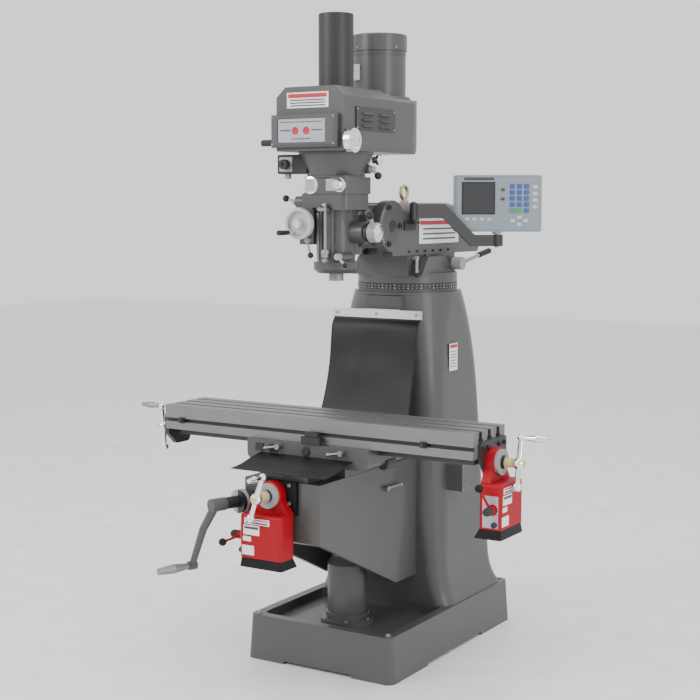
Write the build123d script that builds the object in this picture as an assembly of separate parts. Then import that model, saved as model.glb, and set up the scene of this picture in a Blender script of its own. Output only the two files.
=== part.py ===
from build123d import *
import math
import os

# Knee-type vertical milling machine, in millimetres. +Z is up, X runs along the table,
# the operator stands at -Y and the origin is the middle of the base's underside.

# Driving dimensions ---------------------------------------------------------------------
BASE_W, BASE_D, BASE_H = 602, 933, 160          # base casting: width, depth, height
BASE_DRAFT = 11                                 # how far its walls lean in over the height
PAN_FLOOR, RIM = 128, 34                        # chip pan floor height and rim width
FLOOR_BOLT_X, FLOOR_BOLT_Y, FLOOR_BOLT_R = 265, 430, 9
PAD_H = 11                                      # height of the corner pads
COLUMN_FACE, COLUMN_TOP = -27, 1300             # front face and turret seat
WALL = 24                                       # casting wall
TURRET_Y, COLLAR_R, COLLAR_TOP = 165, 186, 1368
PINION_Y, PINION_Z, PINION_R = 250, 1399, 30    # rack pinion that drives the ram
RAM_HALF, RAM_BOTTOM, RAM_TOP = 110, 1436, 1625
NOD_Y, NOD_Z, CHEEK_R, CHEEK_IN = -139, 1542, 91, 75
SPINDLE_Y = -337
NOSE_Z, HOUSING_Z = 1356, 1383                  # underside of spindle nose and of housing
QUILL_R, BORE_R = 42.95, 43.03
FLANGE_R = 95                                   # joint flange between knuckle and head
LEVER_Y, LEVER_Z = -325, 1523                   # quill pinion axis
STOP_X, STOP_Y = 18, -436                       # depth stop rod
MOTOR_Y, MOTOR_R = -47, 94.5
BELT_HALF, BELT_Z0, BELT_Z1, BELT_FRONT = 135, 1796, 2009, -500
TOP_Z = 2262                                    # top of the drawbar cover
KNEE_HALF, KNEE_DECK, KNEE_TOP = 150, 708, 738  # half width, deck and top of the way
KNEE_FRONT, KNEE_LOW, WAY_HALF = -675, 270, 95
SCREW_Y = -267                                  # elevating screw axis
KNEE_CRANK_Z, KNEE_CRANK_TURN = 632, 18         # crank shaft height and turn from -Y
CROSS_X, CROSS_Z = -21, 666                     # cross screw axis
SADDLE_HALF, SADDLE_FRONT, SADDLE_BACK = 245, -530, -190
TABLE_L, TABLE_W = 1245, 229                    # 49 in by 9 in
TABLE_Y, TABLE_TOP, TABLE_BOTTOM = -397.5, 898, 811
SLOT_PITCH, SLOT_NECK = 63.5, 16                # three T-slots
TABLE_SCREW_Z = 794
X_FEED_X, Y_FEED_Y = 629, -689                  # mounting faces of the two power feeds
GAP = 0.3                                       # sliding gap between bodies
RUN = 0.05                                      # radial running clearance of a shaft

os.makedirs("parts", exist_ok=True)


# Helpers --------------------------------------------------------------------------------
def block(x0, x1, y0, y1, z0, z1):
    return Pos((x0 + x1) / 2, (y0 + y1) / 2, (z0 + z1) / 2) * Box(x1 - x0, y1 - y0, z1 - z0)


def rod_x(y, z, r, x0, x1):
    return Pos((x0 + x1) / 2, y, z) * Rot(0, 90, 0) * Cylinder(r, x1 - x0)


def rod_y(x, z, r, y0, y1):
    return Pos(x, (y0 + y1) / 2, z) * Rot(90, 0, 0) * Cylinder(r, y1 - y0)


def rod_z(x, y, r, z0, z1):
    return Pos(x, y, (z0 + z1) / 2) * Cylinder(r, z1 - z0)


def ball(x, y, z, r, turn=0):
    """A ball whose seam is turned about Z, clear of whatever joins it."""
    return Pos(x, y, z) * Rot(0, 0, turn) * Sphere(r)


def rod(start, end, r0, r1=None):
    """A round bar, or a taper, from start to end."""
    a, b = Vector(*start), Vector(*end)
    plane = Plane(origin=(a + b) * 0.5, z_dir=b - a)
    length = (b - a).length
    if r1 is None or r1 == r0:
        return plane * Cylinder(r0, length)
    return plane * Cone(r0, r1, length)


def prism_x(points, x0, x1):
    """Extrudes an outline of (y, z) points along X."""
    face = make_face(Plane.YZ.offset(x0) * Polyline(*points, close=True))
    return extrude(face, x1 - x0, dir=(1, 0, 0))


def prism_y(points, y0, y1):
    """Extrudes an outline of (x, z) points along Y."""
    face = make_face(Plane.XZ.offset(-y1) * Polyline(*points, close=True))
    return extrude(face, y1 - y0, dir=(0, -1, 0))


def prism_z(points, z0, z1):
    """Extrudes an outline of (x, y) points along Z."""
    face = make_face(Plane.XY.offset(z0) * Polyline(*points, close=True))
    return extrude(face, z1 - z0, dir=(0, 0, 1))


def rounded_slab(x0, x1, y0, y1, z, r):
    """A flat rounded rectangle at height z, for a loft."""
    place = Pos((x0 + x1) / 2, (y0 + y1) / 2, z)
    return place * RectangleRounded(x1 - x0, y1 - y0, r)


def dovetail(half_root, half_tip, depth):
    """Outline of a dovetail that stands up from 0 to depth."""
    return [(-half_root, 0), (half_root, 0), (half_tip, depth), (-half_tip, depth)]


def save(name, shape):
    shape.label = name
    export_step(shape, f"parts/{name}.step")


# Base and column ------------------------------------------------------------------------
# Column sections from the top down: height, half width, back, corner radius.
COLUMN_SECTIONS = [
    (COLUMN_TOP, 199, 365, 192),
    (1142, 208, 371, 120),
    (784, 223, 388, 80),
    (330, 247, 410, 60),
]
FLARE_SECTIONS = [(330, 247, 410, 60), (260, 252, 413, 60), (200, 265, 425, 60), (155, 284, 452, 60)]


def column_shell(inset):
    """The column's outside, or with an inset the core inside it."""
    parts = []
    for sections in (COLUMN_SECTIONS, FLARE_SECTIONS):
        slabs = []
        for z, half, back, radius in sections:
            slabs.append(rounded_slab(-half + inset, half - inset, COLUMN_FACE + inset,
                                      back - inset, z, max(radius - inset, 20)))
        parts.append(loft(slabs))
    # The front is machined flat for the knee.
    return parts[0] + parts[1] - block(-400, 400, -200, COLUMN_FACE + inset, 100, COLUMN_TOP + 1)


def knee_way(gap):
    """The column's vertical dovetail way, grown by the gap for the knee's slot."""
    root, tip, depth = 72 + gap, 82 + gap, 45 + gap
    face = COLUMN_FACE
    return [(-root, face + 20), (root, face + 20), (root, face), (tip, face - depth),
            (-tip, face - depth), (-root, face)]


def base_shell():
    foot = extrude(RectangleRounded(BASE_W, BASE_D, 30), BASE_H, taper=4)
    half_x, half_y = BASE_W / 2 - BASE_DRAFT, BASE_D / 2 - BASE_DRAFT
    pan = block(-half_x + RIM, half_x - RIM, -half_y + RIM, COLUMN_FACE + 5, PAN_FLOOR, BASE_H + 5)
    pan = fillet(pan.edges().filter_by(Axis.Z), 24)
    foot -= pan
    core = block(-half_x + WALL, half_x - WALL, -half_y + WALL, half_y - WALL, -1, PAN_FLOOR - 20)
    foot -= core
    # Four corner pads stand on the floor and the walls between them are clear of it.
    foot -= block(-140, 140, -BASE_D, BASE_D, -1, PAD_H)
    foot -= block(-BASE_W, BASE_W, -210, 210, -1, PAD_H)
    for x in (-FLOOR_BOLT_X, FLOOR_BOLT_X):
        for y in (-FLOOR_BOLT_Y, FLOOR_BOLT_Y):
            boss = fillet(block(x - 22, x + 22, y - 22, y + 22, 0, PAN_FLOOR).edges().filter_by(Axis.Z), 8)
            foot += boss
    return foot


def make_base_column():
    body = base_shell() + column_shell(0)
    body += rod_z(0, TURRET_Y, 200, COLUMN_TOP - 10, COLUMN_TOP)
    body += prism_z(knee_way(0), 235, 1180)
    body -= column_shell(WALL) & block(-400, 400, -400, 600, 0, COLUMN_TOP - 26)
    body -= block(-200, 200, 10, 385, 100, 200)
    body -= rod_z(0, TURRET_Y, 60, COLUMN_TOP - 40, COLUMN_TOP + 1)
    for x in (-FLOOR_BOLT_X, FLOOR_BOLT_X):
        body -= rod_z(x, FLOOR_BOLT_Y, 20, BASE_H, 330)
        for y in (-FLOOR_BOLT_Y, FLOOR_BOLT_Y):
            body -= rod_z(x, y, FLOOR_BOLT_R, -1, BASE_H + 60)
    body -= rod_z(0, SCREW_Y, 40, PAN_FLOOR - 30, PAN_FLOOR + 1)
    return body


def make_screw_pedestal():
    """The post on the pan floor, with the brass elevating nut at its top."""
    profile = [(0, PAN_FLOOR), (95, PAN_FLOOR), (95, 148), (75, 150), (75, 170), (69.5, 172),
               (69.5, 345), (55, 375), (55, 462), (0, 462)]
    face = make_face(Plane.XZ * Polyline(*profile, close=True))
    post = Pos(0, SCREW_Y, 0) * revolve(face, Axis.Z)
    post -= rod_z(0, SCREW_Y, 34, 422, 463)
    post -= rod_z(0, SCREW_Y, 26, PAN_FLOOR - 1, 423)
    nut = rod_z(0, SCREW_Y, 34, 422, 462) + rod_z(0, SCREW_Y, 46, 462, 476)
    nut -= rod_z(0, SCREW_Y, 16 + RUN, 415, 480)
    return Compound(children=[post, nut])


def make_guard_rail():
    """Bracket on the column's front and the clamp bar of the rear guard."""
    lug = block(-58, 90, -52, -20, 1222, 1288) - block(-60, 92, -60, -41, 1240, 1300)
    bar = block(-183, 183, -58, -52, 1208, 1238)
    return (lug - column_shell(0) - prism_z(knee_way(0), 200, 1180)) + bar


def make_rear_guard():
    """Rubber sheet from the clamp bar down to the back of the saddle."""
    line = [(-58.2, 1238), (-59, 1206), (-78, 1176), (-96, 1060), (-118, 960), (-142, 880),
            (-172, 818), (-184, 800), (-185, 780)]
    back = [(y + 3, z) for y, z in reversed(line)]
    sheet = prism_x(line + back, -185, 185)
    return sheet - block(-200, 200, -58.1, 0, 1200, 1250)


def make_electric_box():
    box = fillet(block(200, 294, 55, 120, 575, 675).edges().filter_by(Axis.X), 5)
    return box - column_shell(0)


# Turret, ram and readout ----------------------------------------------------------------
def make_turret_casting():
    body = rod_z(0, TURRET_Y, COLLAR_R, COLUMN_TOP + GAP, COLLAR_TOP)
    body += block(-102, 102, -18, 350, 1360, RAM_BOTTOM - 0.7)
    gusset = [(3, 1362), (276, 1362), (184, 1428), (54, 1428)]
    body += prism_x(gusset, 95, 150) + prism_x(gusset, -150, -95)
    body += rod_x(PINION_Y, PINION_Z, 27, 95, 150)
    body += prism_y([(x, z + RAM_BOTTOM - 2) for x, z in dovetail(62, 76, 28)], -18, 350)
    body -= rod_z(0, TURRET_Y, 150, COLUMN_TOP, 1345)
    body += rod_z(0, TURRET_Y, 59.5, 1286, 1350) - rod_z(0, TURRET_Y, 42, 1280, 1351)
    body -= block(-17, 17, -120, 360, 1429.5, 1480)
    body -= block(-32, 32, PINION_Y - 37, PINION_Y + 37, 1366, 1480)
    body -= rod_x(PINION_Y, PINION_Z, 10 + RUN, -60, 160)
    return body


def make_ram_pinion():
    shaft = rod_x(PINION_Y, PINION_Z, 10, -55, 172)
    return shaft + rod_x(PINION_Y, PINION_Z, PINION_R - 1, -28, 28)


def make_ram_lever():
    """Ratchet handle on the end of the pinion shaft."""
    y, z = PINION_Y, PINION_Z
    hub = rod_x(y, z, 24, 151, 190) - rod_x(y, z, 10 + RUN, 150, 172.5)
    arm = rod((182, y + 5, z + 1), (196, y + 120, z + 28), 7)
    grip = rod((196, y + 119, z + 28), (208, y + 183, z + 43), 11)
    return hub + arm + grip


def make_ram_lock_lever():
    hub = rod_x(30, 1424, 8, 102.4, 120)
    arm = rod((114, 30, 1424), (133, -4, 1366), 6, 5)
    return hub + arm + ball(134, -5, 1364, 8)


def make_ram_casting():
    side = [(NOD_Y, RAM_BOTTOM), (527, RAM_BOTTOM), (539, 1451), (345, RAM_TOP), (NOD_Y, RAM_TOP)]
    body = prism_x(side, -RAM_HALF, RAM_HALF)
    top = prism_y([(-RAM_HALF, 1400), (RAM_HALF, 1400), (RAM_HALF, RAM_TOP), (-RAM_HALF, RAM_TOP)],
                  NOD_Y, 545)
    top = fillet(top.edges().filter_by(Axis.Y).group_by(Axis.Z)[-1], 50)
    body = body & top
    body += rod_x(NOD_Y, NOD_Z, CHEEK_R, -RAM_HALF, RAM_HALF)
    body -= block(-CHEEK_IN, CHEEK_IN, -240, -48, 1400, 1700)
    body -= rod_y(0, 1558, 50, -60, 545)
    body -= prism_y([(x, z + RAM_BOTTOM - 2) for x, z in dovetail(62.6, 76.9, 28.8)], -240, 545)
    body += block(-14, 14, -40, 505, 1431, 1466)
    body -= rod_x(NOD_Y, NOD_Z, 20 + RUN, -RAM_HALF - 1, RAM_HALF + 1)
    body -= rod_z(0, 135, 8, 1590, RAM_TOP + 1)
    return body


def make_lifting_eye():
    y = 135
    ring = Pos(0, y, 1663) * Rot(0, 90, 0) * Torus(24, 7)
    eye = ring + rod_z(0, y, 17, RAM_TOP, 1632) + rod_z(0, y, 11, 1630, 1644)
    return eye + rod_z(0, y, 8 - GAP, 1596, 1630)


ARM_PIVOT = (128, -20)
DRO_AT = (336, 235)
DRO_Z, DRO_YAW = 1622, 31.8


def make_dro_clamp():
    """Angle bolted to the ram's side, with the pin that the arm turns on."""
    x, y = ARM_PIVOT
    plate = block(RAM_HALF, RAM_HALF + 6, y - 40, y + 40, 1528, 1558.5)
    shelf = block(RAM_HALF, x + 16, y - 20, y + 20, 1549, 1558.5)
    return plate + shelf + rod_z(x, y, 8, 1550, 1626)


def make_dro_arm():
    """Flat bar: level at the ram, down a slope, level again under the readout."""
    run = math.dist(ARM_PIVOT, DRO_AT)
    outline = [(-10, 1571), (112, 1571), (226, 1466), (run + 22, 1466), (run + 22, 1508),
               (238, 1508), (122, 1620), (-10, 1620)]
    angle = math.degrees(math.atan2(DRO_AT[1] - ARM_PIVOT[1], DRO_AT[0] - ARM_PIVOT[0]))
    bar = Pos(*ARM_PIVOT, 0) * Rot(0, 0, angle) * prism_y(outline, -5, 5)
    bar += rod_z(*ARM_PIVOT, 14, 1560, 1624)
    bar -= rod_z(*ARM_PIVOT, 8 + RUN, 1550, 1640)
    bar += rod_z(*DRO_AT, 15, 1466, 1508)
    return bar - rod_z(*DRO_AT, 6 + RUN, 1450, 1520)


def make_dro_case():
    case = fillet(Box(320, 40, 206).edges().filter_by(Axis.Y), 8)
    case = Pos(*DRO_AT, DRO_Z) * Rot(0, 0, DRO_YAW) * case
    neck = Pos(*DRO_AT, 1514.5) * Cone(13, 20, 11)
    return case + neck + rod_z(*DRO_AT, 6, 1470, 1512)


# Knuckle and head -----------------------------------------------------------------------
def make_knuckle_casting():
    """Knuckle between the ram's cheeks, on trunnions, with the head's flange in front."""
    half = CHEEK_IN - 3
    body = rod_x(NOD_Y, NOD_Z, 79, -half, half)
    body += block(-half, half, -240, NOD_Y, 1474, 1610)
    body += rod_y(0, NOD_Z, FLANGE_R, -258, -236)
    return body + rod_x(NOD_Y, NOD_Z, 20, -RAM_HALF, RAM_HALF)


def make_quill_housing():
    y = SPINDLE_Y
    ring = chamfer(rod_z(0, y, 78, HOUSING_Z, 1422).edges().sort_by(Axis.Z)[0], 14)
    body = ring + rod_z(0, y, 65, 1400, 1640)
    body += fillet(block(-24, 34, -414, y, 1422, 1610).edges().filter_by(Axis.Z), 8)
    body += block(-62, 62, y, -266, 1446, 1640)
    body += rod_y(0, NOD_Z, FLANGE_R, -285, -258 - GAP)
    body += fillet(block(-95, 95, -425, -262, 1600, 1654.5).edges().filter_by(Axis.Z), 24)
    body += rod_x(-400, 1627, 20, -118, -80)
    body += rod_x(LEVER_Y, LEVER_Z, 38, 40, 115)
    body += rod_y(64, 1442, 14, -418, -350)
    # Worm box on the left with the fine feed shaft and the feed trip.
    body += fillet(block(-98, -40, -425, -340, 1482, 1604).edges().filter_by(Axis.Z), 10)
    body -= rod_z(0, y, BORE_R, HOUSING_Z - 1, 1644)
    body -= rod_z(0, y, 30, 1600, 1656)
    body -= block(-9, 9, -430, -370, 1440, 1612)
    body -= block(-40, 40, -450, -414, 1422, 1608) - rod_z(0, y, 65, 1400, 1640)
    body -= rod_x(LEVER_Y, LEVER_Z, 12 + RUN, 46, 116)
    return body - rod_y(-73, 1553, 8 + RUN, -430, -400)


def make_depth_stop():
    """Threaded rod with its nuts, between two feet on the housing's front."""
    body = rod_z(STOP_X, STOP_Y, 5, 1424, 1622) + rod_z(STOP_X, STOP_Y, 13, 1440, 1466)
    body += block(STOP_X - 8, STOP_X + 8, -444, -414, 1424, 1434)
    return body + block(STOP_X - 8, STOP_X + 8, -444, -425, 1612, 1622)


def make_feed_gearbox():
    body = fillet(block(-60, 100, -430, -262, 1654.5, 1711.5).edges().filter_by(Axis.Z), 16)
    body += rod_z(-46, -386, 42, 1654.5, 1711.5)
    return body - rod_z(0, SPINDLE_Y, 34, 1640, 1720)


def make_back_gear_housing():
    cone = Pos(0, SPINDLE_Y, 1750.75) * Cone(97, 127, 78.5)
    body = cone + rod_z(0, SPINDLE_Y, 127, 1788, BELT_Z0) + rod_x(-300, 1738, 15, 60, 114)
    return body - rod_z(0, SPINDLE_Y, 66, 1724, 1797) - rod_z(0, SPINDLE_Y, 34, 1700, 1730)


def belt_plan(inset):
    half = BELT_HALF - inset
    front = BELT_FRONT + inset
    plan = Pos(0, (front + MOTOR_Y) / 2) * Rectangle(2 * half, MOTOR_Y - front)
    return plan + Pos(0, MOTOR_Y) * Circle(half)


def belt_solid(inset):
    """Belt housing: sloped under the motor, stepped down behind, its roof edges sloped."""
    body = Pos(0, 0, BELT_Z0 + inset) * extrude(belt_plan(inset), BELT_Z1 - BELT_Z0 - 2 * inset)
    deck = 1987
    body -= prism_x([(-20 - inset, BELT_Z0 - 1), (120, BELT_Z0 - 1), (120, 1880 + inset),
                     (88, 1866 + inset)], -200, 200)
    body -= prism_x([(-215 - inset, BELT_Z1 + 1), (-165, deck - inset), (120, deck - inset),
                     (120, BELT_Z1 + 1)], -200, 200)
    for s in (-1, 1):
        body -= prism_y([(s * (98 - inset / 2), BELT_Z1 + 1), (s * 160, BELT_Z1 + 1),
                         (s * 160, 1975 - inset), (s * 135, 1975 - inset)], -600, 200)
    return body


def make_belt_housing():
    body = belt_solid(0) - belt_solid(8)
    body -= rod_z(0, SPINDLE_Y, 66, BELT_Z0 - 1, BELT_Z0 + 12)
    body -= rod_z(0, SPINDLE_Y, 52, 1980, BELT_Z1 + 1)
    return body - rod_z(0, MOTOR_Y, 30, 1970, BELT_Z1 + 1)


def make_speed_panel():
    plate = block(-147, 117, -525, BELT_FRONT, 1808, 1917)
    plate = chamfer(plate.faces().sort_by(Axis.Y)[0].edges(), 10)
    return plate - block(-114, 75, -526, -521, 1823, 1903)


def make_motor():
    body = rod_z(0, MOTOR_Y, MOTOR_R, 1987, 2160) - rod_z(0, MOTOR_Y, 14, 1980, 2040)
    cover = rod_z(0, MOTOR_Y, 99, 2160, 2219)
    return Compound(children=[body, fillet(cover.edges().sort_by(Axis.Z)[-1], 6)])


def make_drawbar_cover():
    tube = rod_z(0, SPINDLE_Y, 60, BELT_Z1, TOP_Z)
    tube = fillet(tube.edges().sort_by(Axis.Z)[-1], 3)
    return tube - rod_z(0, SPINDLE_Y, 56, BELT_Z1 - 1, TOP_Z - 4)


def make_switch_box():
    box = block(-180, -60, -430, -385, 1722, 1788)
    box = fillet(box.edges().filter_by(Axis.Y), 6)
    return box - make_back_gear_housing() - rod_z(0, SPINDLE_Y, 80, 1700, 1800)


def make_drive_belt():
    """Wide belt between the variable pulleys, as a closed band."""
    def loop(r1, r2):
        # External tangents to two circles of nearly equal size.
        spread = MOTOR_Y - SPINDLE_Y
        lean = math.asin((r1 - r2) / spread)
        c, s = math.cos(lean), math.sin(lean)
        quad = [(r1 * c, SPINDLE_Y + r1 * s), (r2 * c, MOTOR_Y + r2 * s),
                (-r2 * c, MOTOR_Y + r2 * s), (-r1 * c, SPINDLE_Y + r1 * s)]
        flat = make_face(Polyline(*quad, close=True))
        return flat + Pos(0, SPINDLE_Y) * Circle(r1) + Pos(0, MOTOR_Y) * Circle(r2)
    band = extrude(loop(84, 74), 30) - extrude(loop(73, 63), 30)
    return Pos(0, 0, 1866) * band


def pulley(y, r, hub, z0, z1):
    """Two facing sheaves on a hub, with room for the belt between them."""
    return (rod_z(0, y, hub, z0, z1) + rod_z(0, y, r, 1852, 1864) + rod_z(0, y, r, 1898, 1910))


def make_spindle_pulley():
    body = pulley(SPINDLE_Y, 96, 50, 1735, 1950)
    return body - rod_z(0, SPINDLE_Y, 14.1, 1700, 1960)


def make_motor_shaft():
    return pulley(MOTOR_Y, 86, 44, 1846, 1935) + rod_z(0, MOTOR_Y, 12, 1930, 2030)


def make_quill():
    y = SPINDLE_Y
    body = rod_z(0, y, QUILL_R, HOUSING_Z, 1640) - rod_z(0, y, 22 + RUN, 1370, 1650)
    body += block(-7, 7, -430, -376, 1596, 1608) + block(-7, 30, -447, -426, 1596, 1608)
    body -= rod_z(STOP_X, STOP_Y, 5.4, 1580, 1620)
    return body - rod_z(0, y, 22 + RUN, 1590, 1615)


def make_spindle():
    """Spindle with a collet bore of the R8 form, and the drawbar down its middle."""
    y = SPINDLE_Y
    body = rod_z(0, y, 25, NOSE_Z, HOUSING_Z - GAP) + rod_z(0, y, 22, 1380, 1640)
    body += rod_z(0, y, 14, 1640, 1985)
    body -= rod_z(0, y, 12.06, NOSE_Z - 1, 1456)
    body -= rod_z(0, y, 5.8, 1450, 1990)
    bar = rod_z(0, y, 5.5, 1464, 2036) + rod_z(0, y, 12, 1985, 1991)
    head = extrude(Pos(0, y, 2036) * RegularPolygon(11, 6), 24)
    return Compound(children=[body, bar + head])


def make_quill_lever():
    y, z = LEVER_Y, LEVER_Z
    hub = rod_x(y, z, 34, 126, 160) + rod_x(y, z, 22, 115.4, 127)
    arm = rod((148, y, z), (177, y - 80, z + 57), 6)
    return hub + rod_x(y, z, 12, 50, 116) + arm + ball(178, y - 82, z + 58, 13)


def make_fine_feed_wheel():
    x, z = -73, 1553
    rim = rod_y(x, z, 53, -466, -446) - rod_y(x, z, 43, -470, -454)
    wheel = rim + rod_y(x, z, 16, -474, -425.4) + rod_y(x, z, 8, -426, -404)
    grip = rod((x - 28, -460, z - 30), (x - 28, -540, z - 30), 7, 9)
    return wheel + grip


def make_feed_trip_lever():
    hub = rod_y(-54, 1496, 9, -444, -425.4)
    return hub + rod((-54, -438, 1496), (-34, -448, 1449), 4) + ball(-33, -449, 1446, 10)


def make_quill_lock():
    hub = rod_y(66, 1442, 11, -440, -418.4)
    return hub + rod((66, -431, 1442), (93, -432, 1415), 5) + ball(94, -432, 1413, 9)


def make_speed_wheel():
    y, z = -486, 1828
    wheel = rod_x(y, z, 40, 146, 168) - rod_x(y, z, 31, 162, 169)
    return wheel + rod_x(y, z, 13, BELT_HALF + 0.4, 172)


def make_brake_lever():
    y, z = -450, 1826
    hub = rod_x(y, z, 11, -156, -BELT_HALF - 0.4)
    arm = rod((-150, y, z), (-150, y - 40, z), 5.5)
    return hub + arm + rod_x(y - 40, z, 11, -200, -152)


def make_feed_engage_lever():
    hub = rod_x(-400, 1627, 9, -134, -118.4)
    knob = ball(-166, -400, 1639, 12, 90)
    return hub + rod((-128, -400, 1628), (-160, -400, 1637), 4.5) + knob


def make_back_gear_lever():
    y, z = -300, 1738
    hub = rod_x(y, z, 11, 114.4, 132)
    arm = rod((126, y, z), (134, y + 12, z - 18), 6)
    return hub + arm + ball(136, y + 16, z - 22, 13)


def make_switch_knob():
    return rod_y(-145, 1755, 17, -450, -430.4) - rod_y(-145, 1755, 6, -451, -446)


# Knee -----------------------------------------------------------------------------------
CRANK_DIR = Vector(-math.sin(math.radians(KNEE_CRANK_TURN)), -math.cos(math.radians(KNEE_CRANK_TURN)), 0)
CRANK_ORIGIN = Vector(0, SCREW_Y, KNEE_CRANK_Z)
# Unit vector from the crank's hub to its grip, square to the shaft.
CRANK_REACH = Vector(-0.368, 0.1195, -0.922)


def on_crank(along, out=0):
    """A point on the knee crank: distance along its shaft and out towards the grip."""
    point = CRANK_ORIGIN + CRANK_DIR * along + CRANK_REACH * out
    return (point.X, point.Y, point.Z)


def make_knee_casting():
    back = COLUMN_FACE - 0.5
    side = [(back, KNEE_LOW), (-175, KNEE_LOW), (KNEE_FRONT, 509), (KNEE_FRONT, KNEE_DECK),
            (back, KNEE_DECK)]
    body = prism_x(side, -KNEE_HALF, KNEE_HALF)
    body += block(-WAY_HALF, WAY_HALF, -664, back, KNEE_DECK - 5, KNEE_TOP)
    body += rod(on_crank(400), on_crank(452), 36)
    inner = [(-100, KNEE_LOW - 10), (-178, KNEE_LOW - 10), (-650, 492), (-650, 690), (-100, 690)]
    body -= prism_x(inner, -130, 130)
    body -= prism_z(knee_way(GAP), KNEE_LOW - 5, KNEE_TOP + 5)
    body -= block(CROSS_X - 30, CROSS_X + 30, -628, -200, 680, KNEE_TOP + 2)
    body -= rod_y(CROSS_X, CROSS_Z, 14, -690, -640)
    # Bridge that carries the top of the elevating screw.
    bridge = block(-132, 132, SCREW_Y - 45, SCREW_Y + 45, 556, 576)
    body += bridge - rod_z(0, SCREW_Y, 16 + RUN, 540, 600)
    body -= rod(on_crank(380), on_crank(460), 11 + RUN)
    return body


def make_elevating_screw():
    screw = rod_z(0, SCREW_Y, 16, 13, 592)
    gear = Pos(0, SCREW_Y, 591) * Cone(46, 24, 28)
    return screw + gear


def make_knee_crank():
    """Shaft with its bevel gear, dial and sleeve, and the dished crank arm."""
    hub, out = 560, 233
    body = rod(on_crank(36), on_crank(hub + 20), 11) + rod(on_crank(34), on_crank(54), 15)
    body += rod(on_crank(455), on_crank(478), 40) + rod(on_crank(478), on_crank(532), 20)
    body += rod(on_crank(532), on_crank(586), 22)
    mid = on_crank(hub + 34, 92)
    end = on_crank(hub + 42, out)
    body += rod(on_crank(hub + 6), mid, 15, 13) + ball(*mid, 13) + rod(mid, end, 13, 11)
    body += rod(on_crank(hub + 28, out), on_crank(hub + 56, out), 15)
    return body + rod(on_crank(hub + 50, out), on_crank(hub + 166, out), 6)


def make_knee_crank_grip():
    first, last, out = 618, 734, 233
    mid = (first + last) / 2
    body = rod(on_crank(first, out), on_crank(mid, out), 10, 16)
    body += rod(on_crank(mid, out), on_crank(last, out), 16, 11)
    return body - rod(on_crank(first - 1, out), on_crank(last - 6, out), 6 + RUN)


def make_knee_lock():
    hub = rod_x(-257, 628, 9, KNEE_HALF + 0.4, 166)
    return hub + rod((160, -257, 628), (163, -170, 628), 5, 4) + ball(163, -166, 628, 7)


# Power feeds ----------------------------------------------------------------------------
FEED_AXIS_R, FEED_FACE = 45, -86                # neck radius and the panel's plane


def power_feed():
    """A feed unit around a screw axis that leaves along +X from x = 0, its panel towards -Y."""
    neck = rod_x(0, 0, FEED_AXIS_R, 0, 31.5)
    saddle_part = prism_x([(-44, -10), (44, -10), (80, -64), (-72, -64)], 0, 31.5)
    case = fillet(block(0, 78, FEED_FACE, 80, -206, -60).edges().filter_by(Axis.Z), 12)
    case = fillet(case.edges().group_by(Axis.Z)[-1], 8)
    case += rod_y(50, -140, 18, FEED_FACE - 6, FEED_FACE + 4)
    body = case + neck + saddle_part
    body -= rod_x(0, 0, 16, -1, 32)
    foot = loft([rounded_slab(0, 76, FEED_FACE + 2, 78, -206, 10),
                 rounded_slab(-18, 80, FEED_FACE - 2, 82, -238, 10)])
    return [body, foot]


def power_feed_lever(end_x, end_z):
    """Direction lever on the panel's boss, with its ball at the end given."""
    hub = rod_y(50, -140, 15, FEED_FACE - 22, FEED_FACE - 6.4)
    arm = rod((50, FEED_FACE - 14, -140), (end_x, FEED_FACE - 37, end_z), 4.5)
    return hub + arm + ball(end_x, FEED_FACE - 38, end_z, 13)


X_FEED_AT = Location((X_FEED_X, TABLE_Y, TABLE_SCREW_Z))
Y_FEED_AT = Location((CROSS_X, Y_FEED_Y, CROSS_Z), (0, 0, -90))


def make_y_feed_unit():
    plate = block(-86, 66, Y_FEED_Y + 0.5, KNEE_FRONT, 600, 712) - rod_y(CROSS_X, CROSS_Z, 16, -700, -660)
    plate -= rod(on_crank(400), on_crank(470), 41)
    return Compound(children=[Y_FEED_AT * piece for piece in power_feed()] + [plate])


def make_x_feed_unit():
    return Compound(children=[X_FEED_AT * piece for piece in power_feed()])


# Ball cranks and screws -----------------------------------------------------------------
def ball_crank(lean, up, down):
    """Ball crank on an axis along +X, leaning from upright, with its two arm lengths."""
    a = math.radians(lean)
    top = (0, up * math.sin(a), up * math.cos(a))
    low = (0, -down * math.sin(a), -down * math.cos(a))
    body = ball(0, 0, 0, 20) + ball(*top, 13) + ball(*low, 16)
    body += rod(low, (0, 0, 0), 8, 11) + rod((0, 0, 0), top, 11, 8)
    body += rod_x(top[1], top[2], 5, 0, 66)
    return body - rod_x(0, 0, 10, -30, 30), top


def crank_grip(top, start, end):
    half = (end - start) / 2
    first = Pos(start + half / 2, top[1], top[2]) * Rot(0, 90, 0) * Cone(7.5, 12, half)
    second = Pos(end - half / 2, top[1], top[2]) * Rot(0, 90, 0) * Cone(12, 7, half)
    return first + second - rod_x(top[1], top[2], 5 + RUN, start - 1, end - 8)


RIGHT_CRANK = Location((X_FEED_X + 100, TABLE_Y, TABLE_SCREW_Z))
LEFT_CRANK = Location((-727, TABLE_Y, TABLE_SCREW_Z), (0, 0, 180))
CROSS_CRANK = Location((CROSS_X, Y_FEED_Y - 102, CROSS_Z), (0, 0, -90))
RIGHT_SHAPE, LEFT_SHAPE, CROSS_SHAPE = (11, 84, 74), (6, 78, 78), (19, 79, 70)


def make_table_cranks():
    right = RIGHT_CRANK * ball_crank(*RIGHT_SHAPE)[0]
    left = LEFT_CRANK * ball_crank(*LEFT_SHAPE)[0]
    return Compound(children=[right, left])


def make_right_grip():
    return RIGHT_CRANK * crank_grip(ball_crank(*RIGHT_SHAPE)[1], 15, 90)


def make_left_grip():
    return LEFT_CRANK * crank_grip(ball_crank(*LEFT_SHAPE)[1], 15, 92)


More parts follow.
